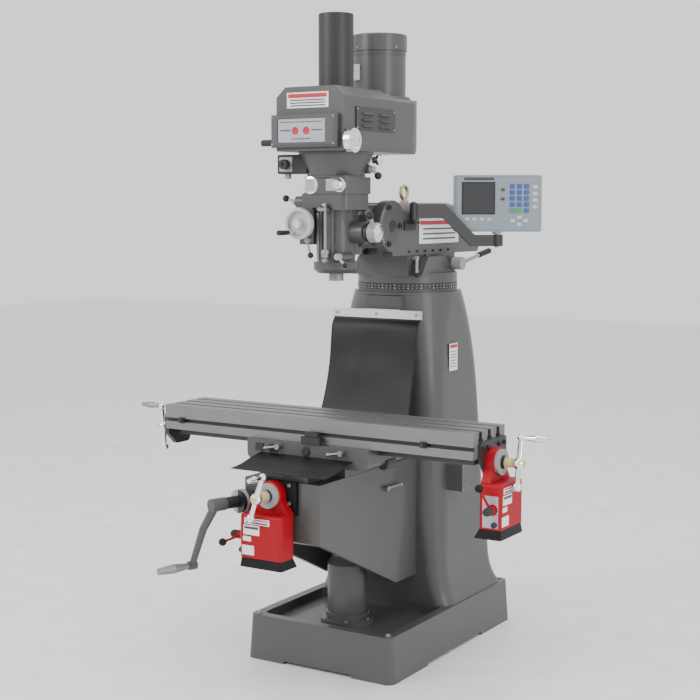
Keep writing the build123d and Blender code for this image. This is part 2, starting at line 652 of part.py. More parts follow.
def make_cross_crank():
    return CROSS_CRANK * ball_crank(*CROSS_SHAPE)[0]


def make_cross_grip():
    return CROSS_CRANK * crank_grip(ball_crank(*CROSS_SHAPE)[1], 15, 77)


def make_table_screw():
    """Table screw with its dials and crank nuts, from crank to crank."""
    y, z, x = TABLE_Y, TABLE_SCREW_Z, X_FEED_X
    screw = rod_x(y, z, 14, -690, x + 34) + rod_x(y, z, 9.9, -747, x + 120)
    right = rod_x(y, z, 42, x + 32, x + 44) + rod_x(y, z, 22, x + 44, x + 56)
    left = rod_x(y, z, 36, -690, -665) + rod_x(y, z, 17, -706, -690)
    return screw + right + left + rod_x(y, z, 15, x + 56, x + 79)


def make_cross_screw():
    """Cross screw from the nut under the saddle out to the front crank."""
    x, y, z = CROSS_X, Y_FEED_Y, CROSS_Z
    screw = rod_y(x, z, 12, y - 34, -196) + rod_y(x, z, 9.9, y - 122, y - 34)
    dial = rod_y(x, z, 42, y - 44, y - 32) + rod_y(x, z, 22, y - 56, y - 44)
    return screw + dial + rod_y(x, z, 15, y - 79, y - 56)


# Saddle ---------------------------------------------------------------------------------
TABLE_WAY_ROOT, TABLE_WAY_TIP, TABLE_WAY_DEPTH = 50, 65, 25


def make_saddle_casting():
    top, bottom = TABLE_BOTTOM - 0.5, KNEE_TOP + 0.5
    body = block(-SADDLE_HALF, SADDLE_HALF, SADDLE_FRONT, SADDLE_BACK, bottom + 1, top)
    body = fillet(body.edges().filter_by(Axis.Y).group_by(Axis.Z)[0], 24)
    for s in (-1, 1):
        x0, x1 = sorted((s * (WAY_HALF + 0.4), s * 150))
        body += block(x0, x1, -520, -200, KNEE_DECK + 1, bottom + 4)
    root, tip, floor = TABLE_WAY_ROOT + 0.5, TABLE_WAY_TIP + 1.8, top - TABLE_WAY_DEPTH - 1
    slot = [(-root, top + 1), (root, top + 1), (root, top), (tip, floor), (-tip, floor), (-root, top)]
    body -= prism_x([(y + TABLE_Y, z) for y, z in slot], -300, 300)
    body -= block(-300, 300, TABLE_Y - 17, TABLE_Y + 17, 777, floor + 1)
    body += block(CROSS_X - 24, CROSS_X + 24, -430, -365, 648, bottom + 4)
    body -= rod_y(CROSS_X, CROSS_Z, 17, -440, -360)
    cross_nut = rod_y(CROSS_X, CROSS_Z, 17, -430, -365) - rod_y(CROSS_X, CROSS_Z, 12 + RUN, -440, -360)
    table_nut = block(-36, 36, TABLE_Y - 17, TABLE_Y + 17, 777, 810)
    table_nut -= rod_x(TABLE_Y, TABLE_SCREW_Z, 14 + RUN, -40, 40)
    return Compound(children=[body, cross_nut, table_nut])


def make_front_apron():
    line = [(SADDLE_FRONT - 1, 768), (-575, 758), (-640, 744), (-706, 738)]
    sheet = prism_x(line + [(y, z - 3) for y, z in reversed(line)], -187, 187)
    return sheet + rod_x(-706, 737, 3.5, -187, 187)


def make_table_lock(x):
    hub = rod_y(x, 794, 10, -550, SADDLE_FRONT - 0.4)
    end = (x - 46, -548, 786)
    return hub + (rod((x, -541, 794), end, 5) + ball(*end, 8, 90))


# Table ----------------------------------------------------------------------------------
def make_table_slab():
    half, y0, y1 = TABLE_L / 2, TABLE_Y - TABLE_W / 2, TABLE_Y + TABLE_W / 2
    body = block(-half, half, y0, y1, TABLE_BOTTOM, TABLE_TOP)
    for i in (-1, 0, 1):
        y = TABLE_Y + i * SLOT_PITCH
        body -= block(-700, 700, y - SLOT_NECK / 2, y + SLOT_NECK / 2, 864, TABLE_TOP + 1)
        body -= block(-700, 700, y - 14, y + 14, 864, 876)
    body -= block(-700, 700, y0 - 1, y0 + 12, 839, 852)
    for s in (-1, 1):
        leg = [(s * 20, 815), (s * TABLE_WAY_ROOT, 815), (s * TABLE_WAY_ROOT, TABLE_BOTTOM),
               (s * TABLE_WAY_TIP, TABLE_BOTTOM - TABLE_WAY_DEPTH), (s * 20, TABLE_BOTTOM - TABLE_WAY_DEPTH)]
        body += prism_x([(y + TABLE_Y, z) for y, z in leg], -600, 600)
    return body


def make_table_brackets():
    """End castings that carry the table screw."""
    y, z, end = TABLE_Y, TABLE_SCREW_Z, TABLE_L / 2
    right = [(y - 76, 863), (y - 76, 800), (y - 40, 750), (y + 50, 750), (y + 116, 812), (y + 116, 863)]
    left = [(y - 97, 863), (y - 97, 790), (y - 50, 747), (y + 20, 747), (y + 42, 790), (y + 42, 863)]
    right_end = fillet(prism_x(right, end, X_FEED_X).edges().filter_by(Axis.X), 12)
    left_end = fillet(prism_x(left, -640, -end).edges().filter_by(Axis.X), 12)
    left_end += rod_x(y, z, 32, -662, -640)
    bore = rod_x(y, z, 14 + RUN, -700, 700)
    return Compound(children=[left_end - bore, right_end - bore])


PARTS = {
    "base_column": make_base_column,
    "screw_pedestal": make_screw_pedestal,
    "guard_rail": make_guard_rail,
    "rear_guard": make_rear_guard,
    "electric_box": make_electric_box,
    "turret_casting": make_turret_casting,
    "ram_pinion": make_ram_pinion,
    "ram_lever": make_ram_lever,
    "ram_lock_lever": make_ram_lock_lever,
    "ram_casting": make_ram_casting,
    "lifting_eye": make_lifting_eye,
    "dro_clamp": make_dro_clamp,
    "dro_arm": make_dro_arm,
    "dro_case": make_dro_case,
    "knuckle_casting": make_knuckle_casting,
    "quill_housing": make_quill_housing,
    "depth_stop": make_depth_stop,
    "feed_gearbox": make_feed_gearbox,
    "back_gear_housing": make_back_gear_housing,
    "belt_housing": make_belt_housing,
    "speed_panel": make_speed_panel,
    "motor": make_motor,
    "drawbar_cover": make_drawbar_cover,
    "switch_box": make_switch_box,
    "drive_belt": make_drive_belt,
    "spindle_pulley": make_spindle_pulley,
    "motor_shaft": make_motor_shaft,
    "quill": make_quill,
    "spindle": make_spindle,
    "quill_lever": make_quill_lever,
    "fine_feed_wheel": make_fine_feed_wheel,
    "feed_trip_lever": make_feed_trip_lever,
    "quill_lock": make_quill_lock,
    "speed_wheel": make_speed_wheel,
    "brake_lever": make_brake_lever,
    "feed_engage_lever": make_feed_engage_lever,
    "back_gear_lever": make_back_gear_lever,
    "switch_knob": make_switch_knob,
    "knee_casting": make_knee_casting,
    "elevating_screw": make_elevating_screw,
    "knee_crank": make_knee_crank,
    "knee_crank_grip": make_knee_crank_grip,
    "knee_lock": make_knee_lock,
    "y_feed_unit": make_y_feed_unit,
    "y_feed_lever": lambda: Y_FEED_AT * power_feed_lever(121, -154),
    "cross_screw": make_cross_screw,
    "cross_crank": make_cross_crank,
    "cross_crank_grip": make_cross_grip,
    "saddle_casting": make_saddle_casting,
    "front_apron": make_front_apron,
    "table_lock_left": lambda: make_table_lock(-109),
    "table_lock_right": lambda: make_table_lock(146),
    "table_slab": make_table_slab,
    "table_brackets": make_table_brackets,
    "table_screw": make_table_screw,
    "table_cranks": make_table_cranks,
    "left_crank_grip": make_left_grip,
    "right_crank_grip": make_right_grip,
    "x_feed_unit": make_x_feed_unit,
    "x_feed_lever": lambda: X_FEED_AT * power_feed_lever(20, -68),
}

for part_name, make in PARTS.items():
    save(part_name, make())
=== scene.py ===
import bmesh
import bpy
import math
from mathutils import Matrix, Vector, noise


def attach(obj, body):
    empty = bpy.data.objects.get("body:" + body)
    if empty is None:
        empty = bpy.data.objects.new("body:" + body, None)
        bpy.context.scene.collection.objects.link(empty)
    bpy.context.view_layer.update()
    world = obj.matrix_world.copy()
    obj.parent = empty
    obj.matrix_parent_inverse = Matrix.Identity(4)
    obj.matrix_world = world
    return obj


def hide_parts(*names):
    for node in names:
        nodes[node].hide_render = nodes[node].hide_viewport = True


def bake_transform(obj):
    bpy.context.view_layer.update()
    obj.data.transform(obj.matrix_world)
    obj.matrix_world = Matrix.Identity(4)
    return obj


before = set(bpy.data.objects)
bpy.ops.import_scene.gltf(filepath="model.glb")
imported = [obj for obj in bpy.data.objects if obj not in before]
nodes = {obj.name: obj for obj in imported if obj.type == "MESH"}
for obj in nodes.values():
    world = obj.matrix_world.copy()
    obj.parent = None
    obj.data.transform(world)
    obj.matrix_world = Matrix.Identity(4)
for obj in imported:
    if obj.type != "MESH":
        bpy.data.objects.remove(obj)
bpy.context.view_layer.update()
MM = 0.001


# Camera and light -----------------------------------------------------------------------
CAMERA_AT = (2.598, -4.442, 1.619)
CAMERA_TILT, CAMERA_TURN, CAMERA_LENS = 5.93, 31.77, 72.15
WORLD_LIGHT = 1.25
FLOOR_HALF = 14


def make_camera():
    data = bpy.data.cameras.new("camera")
    data.sensor_width = 36
    data.lens = CAMERA_LENS
    cam = bpy.data.objects.new("camera", data)
    cam.location = CAMERA_AT
    cam.rotation_euler = (math.radians(90 - CAMERA_TILT), 0, math.radians(CAMERA_TURN))
    bpy.context.scene.collection.objects.link(cam)
    bpy.context.scene.camera = cam


def area_light(name, place, target, size, power):
    data = bpy.data.lights.new(name, "AREA")
    data.shape = "RECTANGLE"
    data.size, data.size_y = size
    data.energy = power
    light = bpy.data.objects.new(name, data)
    light.location = place
    light.rotation_euler = (Vector(target) - Vector(place)).to_track_quat("-Z", "Y").to_euler()
    bpy.context.scene.collection.objects.link(light)


def make_studio():
    world = bpy.data.worlds.new("studio")
    bpy.context.scene.world = world
    world.use_nodes = True
    background = world.node_tree.nodes["Background"]
    background.inputs["Color"].default_value = (1.0, 1.0, 1.0, 1)
    background.inputs["Strength"].default_value = WORLD_LIGHT
    area_light("key", (-2.6, -4.2, 3.8), (0, -0.2, 1.2), (2.4, 2.4), 150)
    area_light("fill", (4.4, -1.6, 2.2), (0, 0, 1.0), (1.8, 2.6), 70)
    area_light("top", (0.4, 0.2, 4.6), (0, -0.1, 1.4), (3.0, 3.0), 60)
    bm = bmesh.new()
    bmesh.ops.create_grid(bm, x_segments=8, y_segments=8, size=FLOOR_HALF)
    mesh = bpy.data.meshes.new("floor")
    bm.to_mesh(mesh)
    floor = bpy.data.objects.new("floor", mesh)
    bpy.context.scene.collection.objects.link(floor)
    floor.data.materials.append(surface("floor_white", (0.86, 0.86, 0.86), rough=0.6, grain=40, bump=0.02))


# Materials ------------------------------------------------------------------------------
def mask_node(tree, position, spec):
    """A 0 or 1 value: inside a ball, or beyond a plane given as axis, sign and value."""
    links = tree.links
    if spec[0] == "ball":
        dist = tree.nodes.new("ShaderNodeVectorMath")
        dist.operation = "DISTANCE"
        links.new(position, dist.inputs[0])
        dist.inputs[1].default_value = [c * MM for c in spec[1]]
        source, limit, test = dist.outputs["Value"], spec[2] * MM, "LESS_THAN"
    else:
        split = tree.nodes.new("ShaderNodeSeparateXYZ")
        links.new(position, split.inputs[0])
        source, limit = split.outputs[spec[1]], spec[2] * MM
        test = "LESS_THAN" if spec[0] == "below" else "GREATER_THAN"
    compare = tree.nodes.new("ShaderNodeMath")
    compare.operation = test
    links.new(source, compare.inputs[0])
    compare.inputs[1].default_value = limit
    return compare.outputs[0]


def mix(tree, kind, factor, a, b):
    node = tree.nodes.new("ShaderNodeMix")
    node.data_type = kind
    tree.links.new(factor, node.inputs["Factor"])
    index = 6 if kind == "RGBA" else 2
    for socket, value in ((node.inputs[index], a), (node.inputs[index + 1], b)):
        if isinstance(value, bpy.types.NodeSocket):
            tree.links.new(value, socket)
        elif kind == "RGBA":
            socket.default_value = (*value, 1)
        else:
            socket.default_value = value
    return node.outputs[index - 4] if kind == "FLOAT" else node.outputs[2]


def surface(name, color, metallic=0.0, rough=0.4, grain=60, bump=0.1, stretch=(1, 1, 1), tint=0.12,
            coat=0.0, shine=0.5, layers=()):
    """Procedural finish: cloudy tone, fine grain in the bump, uneven gloss, and masked layers."""
    if name in bpy.data.materials:
        return bpy.data.materials[name]
    mat = bpy.data.materials.new(name)
    mat.use_nodes = True
    tree = mat.node_tree
    links = tree.links
    shader = tree.nodes["Principled BSDF"]
    where = tree.nodes.new("ShaderNodeTexCoord").outputs["Object"]
    scale = tree.nodes.new("ShaderNodeMapping")
    scale.inputs["Scale"].default_value = stretch
    links.new(where, scale.inputs["Vector"])
    cloud = tree.nodes.new("ShaderNodeTexNoise")
    cloud.inputs["Scale"].default_value = 7
    cloud.inputs["Detail"].default_value = 5
    links.new(where, cloud.inputs["Vector"])
    fine = tree.nodes.new("ShaderNodeTexNoise")
    fine.inputs["Scale"].default_value = grain
    fine.inputs["Detail"].default_value = 4
    links.new(scale.outputs[0], fine.inputs["Vector"])
    dark = [c * (1 - tint) for c in color]
    light = [min(1, c * (1 + tint)) for c in color]
    tone = mix(tree, "RGBA", cloud.outputs["Fac"], dark, light)
    gloss = mix(tree, "FLOAT", fine.outputs["Fac"], max(0.02, rough - 0.08), min(1, rough + 0.08))
    metal = None
    for spec in layers:
        factor = mask_node(tree, where, spec["mask"][0])
        for more in spec["mask"][1:]:
            both = tree.nodes.new("ShaderNodeMath")
            both.operation = "MULTIPLY"
            links.new(factor, both.inputs[0])
            links.new(mask_node(tree, where, more), both.inputs[1])
            factor = both.outputs[0]
        tone = mix(tree, "RGBA", factor, tone, spec["color"])
        gloss = mix(tree, "FLOAT", factor, gloss, spec["rough"])
        metal = mix(tree, "FLOAT", factor, metallic if metal is None else metal, spec["metallic"])
    links.new(tone, shader.inputs["Base Color"])
    links.new(gloss, shader.inputs["Roughness"])
    if metal is None:
        shader.inputs["Metallic"].default_value = metallic
    else:
        links.new(metal, shader.inputs["Metallic"])
    shader.inputs["Specular IOR Level"].default_value = shine
    shader.inputs["Coat Weight"].default_value = coat
    shader.inputs["Coat Roughness"].default_value = 0.12
    relief = tree.nodes.new("ShaderNodeBump")
    relief.inputs["Strength"].default_value = bump
    relief.inputs["Distance"].default_value = 0.001
    links.new(fine.outputs["Fac"], relief.inputs["Height"])
    links.new(relief.outputs["Normal"], shader.inputs["Normal"])
    return mat


GREY, BLACK, RED = (0.055, 0.058, 0.055), (0.003, 0.003, 0.004), (0.33, 0.0, 0.008)
STEEL, BRIGHT = (0.23, 0.235, 0.23), (0.46, 0.46, 0.46)
FINISHES = {
    "paint": dict(color=GREY, rough=0.34, grain=240, bump=0.22, tint=0.10, coat=0.25),
    "ground": dict(color=STEEL, metallic=1, rough=0.30, grain=90, stretch=(0.4, 12, 12), bump=0.12),
    "satin": dict(color=(0.30, 0.30, 0.295), metallic=1, rough=0.30, grain=180, bump=0.08),
    "chrome": dict(color=BRIGHT, metallic=1, rough=0.13, grain=60, bump=0.02, tint=0.04),
    "aluminium": dict(color=(0.62, 0.62, 0.62), metallic=1, rough=0.38, grain=160, stretch=(0.5, 8, 8)),
    "brass": dict(color=(0.62, 0.45, 0.16), metallic=1, rough=0.28, grain=120, bump=0.08),
    "dark_plate": dict(color=(0.022, 0.024, 0.023), rough=0.38, grain=160, bump=0.12, tint=0.12, coat=0.2),
    "eye_plate": dict(color=(0.50, 0.43, 0.27), metallic=1, rough=0.32, grain=150, bump=0.15),
    "black_metal": dict(color=BLACK, rough=0.38, grain=260, bump=0.15, tint=0.2, shine=0.25),
    "black_plastic": dict(color=(0.006, 0.006, 0.007), rough=0.34, grain=300, bump=0.1, tint=0.2,
                          shine=0.3),
    "rubber": dict(color=(0.003, 0.003, 0.004), rough=0.18, grain=130, bump=0.05, tint=0.2, shine=0.35),
    "red": dict(color=RED, rough=0.30, grain=200, bump=0.12, tint=0.08, shine=0.25),
    "readout": dict(color=(0.25, 0.28, 0.32), rough=0.45, grain=500, bump=0.12, tint=0.05),
    "white_label": dict(color=(0.80, 0.80, 0.79), rough=0.42, grain=80, bump=0.02, tint=0.03),
    "label_red": dict(color=(0.45, 0.008, 0.02), rough=0.4, grain=80, bump=0.02, tint=0.05),
    "label_ink": dict(color=(0.05, 0.05, 0.06), rough=0.4, grain=80, bump=0.02, tint=0.1),
    "panel_plate": dict(color=(0.38, 0.36, 0.42), rough=0.38, grain=90, bump=0.03, tint=0.04),
    "screen": dict(color=(0.006, 0.007, 0.010), rough=0.10, grain=30, bump=0.005, tint=0.3, coat=0.6),
    "key_blue": dict(color=(0.03, 0.10, 0.36), rough=0.38, grain=300, bump=0.05, tint=0.08),
    "key_grey": dict(color=(0.55, 0.57, 0.60), rough=0.40, grain=300, bump=0.05, tint=0.05),
    "key_green": dict(color=(0.05, 0.30, 0.14), rough=0.38, grain=300, bump=0.05, tint=0.08),
}


def finish(name, layers=(), key=None):
    return surface(key or name, layers=layers, **FINISHES[name])


def ball_of(x, y, z, r, color=BLACK, metallic=0.0, rough=0.22):
    return dict(mask=[("ball", (x, y, z), r)], color=color, metallic=metallic, rough=rough)


def zone(color, metallic, rough, *planes):
    return dict(mask=list(planes), color=color, metallic=metallic, rough=rough)


PLAIN = {
    "paint": ["base_column", "screw_pedestal", "electric_box", "turret_casting", "ram_casting",
              "knuckle_casting", "quill_housing", "feed_gearbox", "back_gear_housing", "belt_housing",
              "speed_panel", "motor", "knee_casting", "saddle_casting"],
    "ground": ["table_slab", "quill", "spindle", "elevating_screw", "ram_pinion"],
    "satin": ["depth_stop", "knee_crank_grip", "left_crank_grip", "table_lock_left",
              "table_lock_right", "knee_lock"],
    "chrome": ["cross_crank", "cross_crank_grip", "right_crank_grip", "speed_wheel", "table_cranks"],
    "aluminium": ["spindle_pulley", "motor_shaft"],
    "eye_plate": ["lifting_eye"],
    "black_metal": ["dro_clamp", "dro_arm", "drawbar_cover", "table_brackets"],
    "black_plastic": ["switch_box", "switch_knob", "brake_lever"],
    "rubber": ["rear_guard", "front_apron", "drive_belt"],
    "readout": ["dro_case"],
}


def dress_cad():
    for look, names in PLAIN.items():
        for name in names:
            paint(name, finish(look))
    paint("guard_rail", finish("aluminium", key="rail_two", layers=[
        zone(GREY, 0.0, 0.36, ("above", 1, -51.9))]))
    paint("ram_lever", finish("satin", key="ram_lever_two", layers=[
        zone(BLACK, 0.0, 0.45, ("above", 1, 366))]))
    paint("ram_lock_lever", finish("satin", key="ram_lock_two", layers=[ball_of(134, -5, 1364, 9)]))
    paint("quill_lever", finish("satin", key="quill_lever_two", layers=[
        ball_of(178, -407, 1581, 15), zone(BLACK, 0.0, 0.3, ("below", 0, 134), ("above", 0, 126))]))
    paint("feed_trip_lever", finish("satin", key="feed_trip_two", layers=[ball_of(-33, -449, 1446, 11)]))
    paint("quill_lock", finish("satin", key="quill_lock_two", layers=[ball_of(94, -432, 1413, 10)]))
    paint("feed_engage_lever", finish("satin", key="feed_engage_two", layers=[
        ball_of(-166, -400, 1639, 14)]))
    paint("back_gear_lever", finish("satin", key="back_gear_two", layers=[ball_of(136, -284, 1716, 15)]))
    paint("fine_feed_wheel", finish("chrome", key="fine_feed_two", layers=[
        zone(BLACK, 0.0, 0.3, ("below", 1, -484))]))
    dark_steel = (0.10, 0.10, 0.10)
    paint("knee_crank", finish("paint", key="knee_crank_two", layers=[
        zone((0.33, 0.33, 0.33), 1.0, 0.34, ("above", 1, -732)),
        zone(BLACK, 0.0, 0.4, ("below", 1, -722), ("above", 1, -776))]))
    red_foot = zone(BLACK, 0.0, 0.45, ("below", 2, TABLE_SCREW_Z - 206))
    paint("x_feed_unit", finish("red", key="x_feed_two", layers=[red_foot]))
    y_foot = zone(BLACK, 0.0, 0.45, ("below", 2, CROSS_Z - 206))
    y_plate = zone(BLACK, 0.0, 0.5, ("above", 1, Y_FEED_Y + 0.2), ("above", 2, 590))
    paint("y_feed_unit", finish("red", key="y_feed_two", layers=[y_foot, y_plate]))
    paint("x_feed_lever", finish("red", key="x_lever_two", layers=[ball_of(649, -521.5, 726, 14)]))
    paint("y_feed_lever", finish("red", key="y_lever_two", layers=[ball_of(-145, -811, 512, 14)]))
    x = X_FEED_X
    paint("table_screw", finish("satin", key="table_screw_two", layers=[
        zone(BLACK, 0.0, 0.3, ("above", 0, x + 44.5), ("below", 0, x + 55.9)),
        zone((0.62, 0.45, 0.16), 1.0, 0.25, ("above", 0, x + 56)),
        zone(dark_steel, 0.6, 0.4, ("below", 0, -690.5))]))
    paint("cross_screw", finish("satin", key="cross_screw_two", layers=[
        zone(BLACK, 0.0, 0.3, ("below", 1, Y_FEED_Y - 44.5), ("above", 1, Y_FEED_Y - 55.9)),
        zone((0.62, 0.45, 0.16), 1.0, 0.25, ("below", 1, Y_FEED_Y - 56))]))


def paint(name, material):
    mesh = nodes[name].data
    mesh.materials.clear()
    mesh.materials.append(material)


# Axes and faces of the machine, in millimetres ------------------------------------------
X_FEED_X, TABLE_Y, TABLE_SCREW_Z = 629, -397.5, 794
CROSS_X, Y_FEED_Y, CROSS_Z = -21, -689, 666
SPINDLE_Y, MOTOR_Y, NOD_Y, NOD_Z, TURRET_Y = -337, -47, -139, 1542, 165
COLLAR_R, DIAL_R = 187, 42.1
READOUT_AT, READOUT_TURN = (336, 235, 1622), 31.8


# Mesh building --------------------------------------------------------------------------
class Kit:
    """Collects shapes given in millimetres into one mesh."""

    def __init__(self, place=None):
        self.bm = bmesh.new()
        self.place = place or Matrix.Identity(4)

    def take(self, geom_verts, matrix):
        bmesh.ops.transform(self.bm, matrix=self.place @ matrix, verts=geom_verts)

    def block(self, x0, x1, y0, y1, z0, z1, bevel=1.0):
        """A box with rounded edges between two values on each axis."""
        made = bmesh.ops.create_cube(self.bm, size=1)["verts"]
        scale = Matrix.Diagonal((x1 - x0, y1 - y0, z1 - z0, 1))
        bmesh.ops.transform(self.bm, matrix=scale, verts=made)
        if bevel:
            edges = list({e for v in made for e in v.link_edges})
            made = bmesh.ops.bevel(self.bm, geom=edges, offset=bevel, segments=2,
                                   affect="EDGES")["verts"]
            made = self.connected(made)
        self.take(made, Matrix.Translation(((x0 + x1) / 2, (y0 + y1) / 2, (z0 + z1) / 2)))

    @staticmethod
    def connected(start):
        """Every vertex that the start's edges lead to."""
        seen, stack = set(start), list(start)
        while stack:
            for edge in stack.pop().link_edges:
                for vert in edge.verts:
                    if vert not in seen:
                        seen.add(vert)
                        stack.append(vert)
        return list(seen)

    def rod(self, start, end, r0, r1=None, segments=32):
        a, b = Vector(start), Vector(end)
        made = bmesh.ops.create_cone(self.bm, cap_ends=True, segments=segments, radius1=r0,
                                     radius2=r0 if r1 is None else r1, depth=(b - a).length)["verts"]
        turn = (b - a).to_track_quat("Z", "Y").to_matrix().to_4x4()
        self.take(made, Matrix.Translation((a + b) / 2) @ turn)

    def lathe(self, start, direction, profile, segments=48):
        """Turns (distance along, radius) pairs about an axis."""
        turn = Vector(direction).to_track_quat("Z", "Y").to_matrix().to_4x4()
        rings = []
        for along, radius in profile:
            ring = [self.bm.verts.new((radius * math.cos(2 * math.pi * i / segments),
                                       radius * math.sin(2 * math.pi * i / segments), along))
                    for i in range(segments)]
            rings.append(ring)
        for low, high in zip(rings, rings[1:]):
            for i in range(segments):
                j = (i + 1) % segments
                self.bm.faces.new((low[i], low[j], high[j], high[i]))
        self.bm.faces.new(list(reversed(rings[0])))
        self.bm.faces.new(rings[-1])
        self.take([v for ring in rings for v in ring], Matrix.Translation(start) @ turn)

    def bolt(self, at, direction, r=8, high=7, socket=True):
        """Bolt head with a chamfer and a hexagon socket, standing on a face."""
        d = Vector(direction).normalized()
        at = Vector(at)
        if socket:
            profile = [(0, r), (high - 1, r), (high, r - 1), (high, r * 0.55), (high * 0.45, r * 0.52)]
            self.lathe(at, d, profile, 24)
        else:
            self.rod(at, at + d * 1.5, r * 1.35, segments=24)
            self.rod(at + d * 1.5, at + d * (high - 1), r * 1.1, segments=6)
            self.rod(at + d * (high - 1), at + d * high, r * 1.1, r * 0.9, segments=6)

    def screw(self, at, direction, r=4):
        d = Vector(direction).normalized()
        self.lathe(Vector(at) - d * 0.5, d, [(0, r), (1.2, r), (2.2, r * 0.7), (2.6, r * 0.2)], 20)

    def hood(self, x, y, z, long, side):
        """A pressed louvre: a half-round hood with tapered ends, open below."""
        rows = []
        for i in range(13):
            t = i / 12
            r = 6.5 * min(1, 4 * math.sqrt(t * (1 - t)))
            row = []
            for k in range(7):
                a = math.radians(30 * k - 90)
                point = (x + side * r * math.cos(a), y + long * t, z + r * math.sin(a))
                row.append(self.bm.verts.new(point))
            rows.append(row)
        for low, high in zip(rows, rows[1:]):
            for k in range(6):
                self.bm.faces.new((low[k], low[k + 1], high[k + 1], high[k]))

    def make(self, name, body, material, slot, sharp=32):
        bm = self.bm
        bmesh.ops.transform(bm, matrix=Matrix.Scale(MM, 4), verts=bm.verts)
        bmesh.ops.recalc_face_normals(bm, faces=bm.faces)
        limit = math.radians(sharp)
        for face in bm.faces:
            face.smooth = True
        for edge in bm.edges:
            edge.smooth = len(edge.link_faces) == 2 and edge.calc_face_angle(0) < limit
        mesh = bpy.data.meshes.new(name)
        bm.to_mesh(mesh)
        bm.free()
        obj = bpy.data.objects.new(name, mesh)
        bpy.context.scene.collection.objects.link(obj)
        mesh.materials.append(material)
        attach(obj, body)
        return obj


X, Y, Z = Vector((1, 0, 0)), Vector((0, 1, 0)), Vector((0, 0, 1))


# Rubber guards --------------------------------------------------------------------------
def rubber_sheet(name, line, width, amount, seed):
    """A hanging rubber sheet on a side outline, with creases that die out at its clamped top."""
    steps, across = 90, 70
    total = [0]
    for p, q in zip(line, line[1:]):
        total.append(total[-1] + math.dist(p, q))

    def along(s):
        for i in range(len(line) - 1):
            if s <= total[i + 1] or i == len(line) - 2:
                t = (s - total[i]) / (total[i + 1] - total[i])
                p0, p1 = Vector(line[max(i - 1, 0)]), Vector(line[i])
                p2, p3 = Vector(line[i + 1]), Vector(line[min(i + 2, len(line) - 1)])
                return 0.5 * (2 * p1 + (p2 - p0) * t + (2 * p0 - 5 * p1 + 4 * p2 - p3) * t * t
                              + (3 * p1 - p0 - 3 * p2 + p3) * t ** 3)

    bm = bmesh.new()
    grid = []
    for i in range(steps + 1):
        s = i / steps
        y, z = along(s * total[-1])
        half = width(s) / 2
        row = []
        for k in range(across + 1):
            u = 2 * k / across - 1
            free = min(1, s * 5) * min(1, (1 - s) * 5 + 0.25)
            broad = noise.noise(Vector((u * 1.1, s * 2.2, seed)))
            small = noise.noise(Vector((u * 2 + s, s * 4, seed + 3)))
            lift = amount * free * (broad + 0.35 * small)
            row.append(bm.verts.new((u * half, y + lift, z + 0.4 * lift * (1 - abs(u)))))
        grid.append(row)
    for a, b in zip(grid, grid[1:]):
        for k in range(across):
            bm.faces.new((a[k], a[k + 1], b[k + 1], b[k]))
    bmesh.ops.transform(bm, matrix=Matrix.Scale(MM, 4), verts=bm.verts)
    mesh = bpy.data.meshes.new(name)
    bm.to_mesh(mesh)
    bm.free()
    for face in mesh.polygons:
        face.use_smooth = True
    obj = bpy.data.objects.new(name, mesh)
    bpy.context.scene.collection.objects.link(obj)
    thick = obj.modifiers.new("thick", "SOLIDIFY")
    thick.thickness = 2.4 * MM
    mesh.materials.append(finish("rubber"))
    return obj, total[-1]


def make_guards():
    line = [(-59.8, 1236), (-61, 1204), (-80, 1172), (-97, 1060), (-119, 960), (-143, 880),
            (-171, 820), (-184, 786)]
    guard, length = rubber_sheet("rear_rubber_guard", line,
                                 lambda s: 366 - 16 * math.sin(math.pi * s) + 16 * s,
                                 6, 3.1)
    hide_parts("rear_guard")
    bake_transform(guard)
    line = [(-532.5, 766), (-560, 761), (-600, 753), (-650, 742), (-704, 736.5)]
    apron, length = rubber_sheet("front_rubber_guard", line, lambda s: 374, 1.6, 8.4)
    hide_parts("front_apron")
    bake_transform(apron)


# Turret, ram and readout ----------------------------------------------------------------
def make_turret_details():
    band = Kit()
    band.lathe((0, TURRET_Y, 1309), Z, [(0, 186), (0.5, 187), (23.5, 187), (24, 186)], 96)
    band.make("protractor_band", "turret", finish("black_metal"), "black_metal")
    ring = Kit()
    for i in range(72):
        a = math.radians(5 * i)
        at = Vector((COLLAR_R * math.cos(a), TURRET_Y + COLLAR_R * math.sin(a), 1315))
        out = Vector((math.cos(a), math.sin(a), 0))
        tall = 6 if i % 3 == 0 else 3
        ring.rod(at - out, at + out * 0.6, 1.0 if i % 3 else 1.8, segments=12)
        for step in range(tall):
            ring.rod(at + Z * (8 + step) - out, at + Z * (8 + step) + out * 0.4, 0.7, segments=6)
    ring.make("protractor_marks", "turret", finish("white_label"), "readout_grey")
    bolts = Kit()
    for x in (-128, 128):
        for y in (24, 255):
            bolts.bolt((x, y, 1368), Z, 11, 12, socket=False)
    for y in (40, 120, 200, 300):
        bolts.bolt((102, y, 1432 if 54 < y < 184 else 1420), X, 5, 8)
    bolts.make("turret_bolts", "turret", finish("satin"), "satin_steel")


